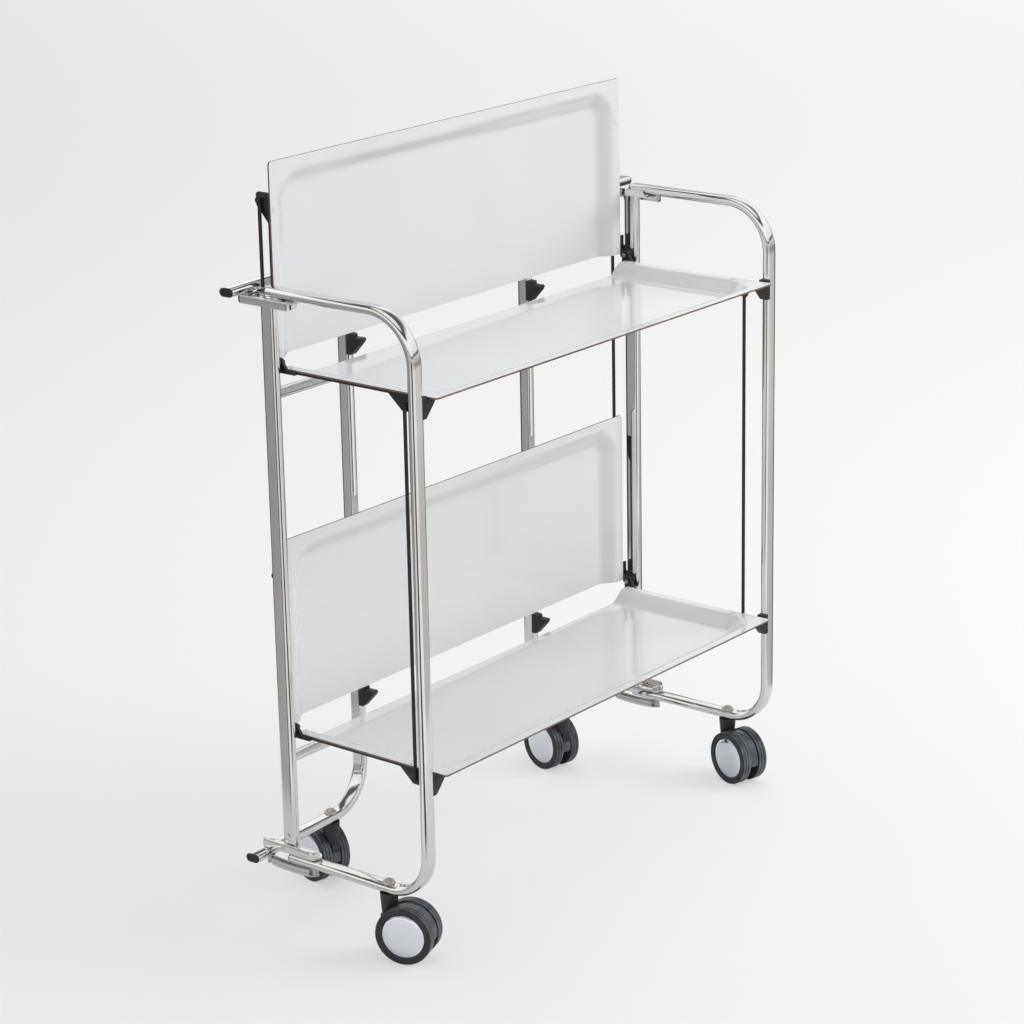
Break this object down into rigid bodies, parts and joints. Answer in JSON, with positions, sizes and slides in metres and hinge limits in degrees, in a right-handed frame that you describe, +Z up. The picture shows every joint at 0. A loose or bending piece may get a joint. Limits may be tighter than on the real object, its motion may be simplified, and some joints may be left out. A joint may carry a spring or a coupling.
{
  "type": "folding room service table",
  "caption": "Folding two-tier serving table on twin-wheel casters: chromed tube frames swing on two posts, tray halves fold up on hinges.",
  "frame": {"origin": "on the floor under the middle of the whole outline, as the table stands with its front half open and its rear half folded", "axes": "+X along the trays to the right post, +Y towards the folded half, +Z up"},
  "size_m": [0.703, 0.3092, 0.855],
  "materials": {
    "chrome": "polished chrome plate on steel tube and pressings",
    "polished_cover": "polished plated cover",
    "plain_steel": "bright zinc",
    "spring_steel": "zinc-plated wire",
    "white_laminate": "glossy white laminate",
    "white_paint": "white paint",
    "black_paint": "satin black paint",
    "black_plastic": "fine-grained black plastic",
    "caster_plastic": "moulded black plastic",
    "tyre_rubber": "dark grey rubber"
  },
  "bodies": {
    "centre_frame": {"left_post": "chrome", "right_post": "chrome", "cross_rails": "chrome", "left_top_bracket": "chrome", "right_top_bracket": "chrome", "left_bottom_bracket": "chrome", "right_bottom_bracket": "chrome", "pivot_rivets": "plain_steel", "hinge_pins": "plain_steel", "left_spring": "spring_steel", "right_spring": "spring_steel", "front_left_frame": "chrome", "front_right_frame": "chrome", "front_tube_plugs": "black_plastic", "front_tray_rests": "black_plastic", "rear_upper_tray": "white_laminate", "rear_lower_tray": "white_laminate", "rear_upper_end_brackets": "black_paint", "rear_lower_end_brackets": "black_paint", "rear_tray_rivets": "white_paint", "rear_link_rods": "black_paint", "front_left_caster_stem": "chrome", "front_right_caster_stem": "chrome"},
    "front_upper_tray": {"front_upper_tray": "white_laminate", "front_upper_end_brackets": "black_paint", "front_upper_tray_rivets": "white_paint"},
    "front_lower_tray": {"front_lower_tray": "white_laminate", "front_lower_end_brackets": "black_paint", "front_lower_tray_rivets": "white_paint"},
    "front_link_rods": {"front_link_rods": "black_paint"},
    "rear_left_frame": {"rear_left_frame": "chrome", "rear_left_tube_plugs": "black_plastic", "rear_left_tray_rests": "black_plastic", "rear_left_caster_stem": "chrome"},
    "rear_right_frame": {"rear_right_frame": "chrome", "rear_right_tube_plugs": "black_plastic", "rear_right_tray_rests": "black_plastic", "rear_right_caster_stem": "chrome"},
    "front_left_caster_swivel": {"front_left_caster_housing": "caster_plastic"},
    "front_left_caster_wheels": {"front_left_caster_tyres": "tyre_rubber", "front_left_caster_axle": "plain_steel", "front_left_caster_cores": "black_plastic", "front_left_caster_covers": "polished_cover"},
    "front_right_caster_swivel": {"front_right_caster_housing": "caster_plastic"},
    "front_right_caster_wheels": {"front_right_caster_tyres": "tyre_rubber", "front_right_caster_axle": "plain_steel", "front_right_caster_cores": "black_plastic", "front_right_caster_covers": "polished_cover"},
    "rear_left_caster_swivel": {"rear_left_caster_housing": "caster_plastic"},
    "rear_left_caster_wheels": {"rear_left_caster_tyres": "tyre_rubber", "rear_left_caster_axle": "plain_steel", "rear_left_caster_cores": "black_plastic", "rear_left_caster_covers": "polished_cover"},
    "rear_right_caster_swivel": {"rear_right_caster_housing": "caster_plastic"},
    "rear_right_caster_wheels": {"rear_right_caster_tyres": "tyre_rubber", "rear_right_caster_axle": "plain_steel", "rear_right_caster_cores": "black_plastic", "rear_right_caster_covers": "polished_cover"}
  },
  "joints": [
    {"name": "front_upper_tray_fold", "type": "hinge", "parent": "centre_frame", "child": "front_upper_tray", "pos_m": [0, 0.05827, 0.642], "axis": [-1, 0, 0], "range_deg": [0, 90]},
    {"name": "front_lower_tray_fold", "type": "hinge", "parent": "centre_frame", "child": "front_lower_tray", "pos_m": [0, 0.05827, 0.229], "axis": [-1, 0, 0], "range_deg": [0, 90]},
    {"name": "front_link_rod_pivot", "type": "hinge", "parent": "front_upper_tray", "child": "front_link_rods", "pos_m": [0, -0.11373, 0.622], "axis": [-1, 0, 0], "range_deg": [-90, 0]},
    {"name": "rear_left_frame_swing", "type": "hinge", "parent": "centre_frame", "child": "rear_left_frame", "pos_m": [-0.319, 0.09127, 0], "axis": [0, 0, 1], "range_deg": [-3, 86.5]},
    {"name": "rear_right_frame_swing", "type": "hinge", "parent": "centre_frame", "child": "rear_right_frame", "pos_m": [0.319, 0.09127, 0], "axis": [0, 0, -1], "range_deg": [0, 89.5]},
    {"name": "front_left_caster_swivel", "type": "hinge", "parent": "centre_frame", "child": "front_left_caster_swivel", "pos_m": [-0.319, -0.08223, 0], "axis": [0, 0, 1], "continuous": true},
    {"name": "front_left_wheel_spin", "type": "hinge", "parent": "front_left_caster_swivel", "child": "front_left_caster_wheels", "pos_m": [-0.31211, -0.10281, 0.0325], "axis": [0.9483, 0.3173, 0], "continuous": true},
    {"name": "front_right_caster_swivel", "type": "hinge", "parent": "centre_frame", "child": "front_right_caster_swivel", "pos_m": [0.319, -0.08223, 0], "axis": [0, 0, 1], "continuous": true},
    {"name": "front_right_wheel_spin", "type": "hinge", "parent": "front_right_caster_swivel", "child": "front_right_caster_wheels", "pos_m": [0.31302, -0.10309, 0.0325], "axis": [0.9613, -0.2756, 0], "continuous": true},
    {"name": "rear_left_caster_swivel", "type": "hinge", "parent": "rear_left_frame", "child": "rear_left_caster_swivel", "pos_m": [-0.2117, 0.09784, 0], "axis": [0, 0, 1], "continuous": true},
    {"name": "rear_left_wheel_spin", "type": "hinge", "parent": "rear_left_caster_swivel", "child": "rear_left_caster_wheels", "pos_m": [-0.20719, 0.11906, 0.0325], "axis": [-0.9781, 0.2079, 0], "continuous": true},
    {"name": "rear_right_caster_swivel", "type": "hinge", "parent": "rear_right_frame", "child": "rear_right_caster_swivel", "pos_m": [0.2115, 0.09221, 0], "axis": [0, 0, 1], "continuous": true},
    {"name": "rear_right_wheel_spin", "type": "hinge", "parent": "rear_right_caster_swivel", "child": "rear_right_caster_wheels", "pos_m": [0.21602, 0.11344, 0.0325], "axis": [-0.9781, 0.2079, 0], "continuous": true}
  ],
  "couplings": [
    {"joint": "front_lower_tray_fold", "follows": "front_upper_tray_fold", "ratio": 1},
    {"joint": "front_link_rod_pivot", "follows": "front_upper_tray_fold", "ratio": -1}
  ]
}
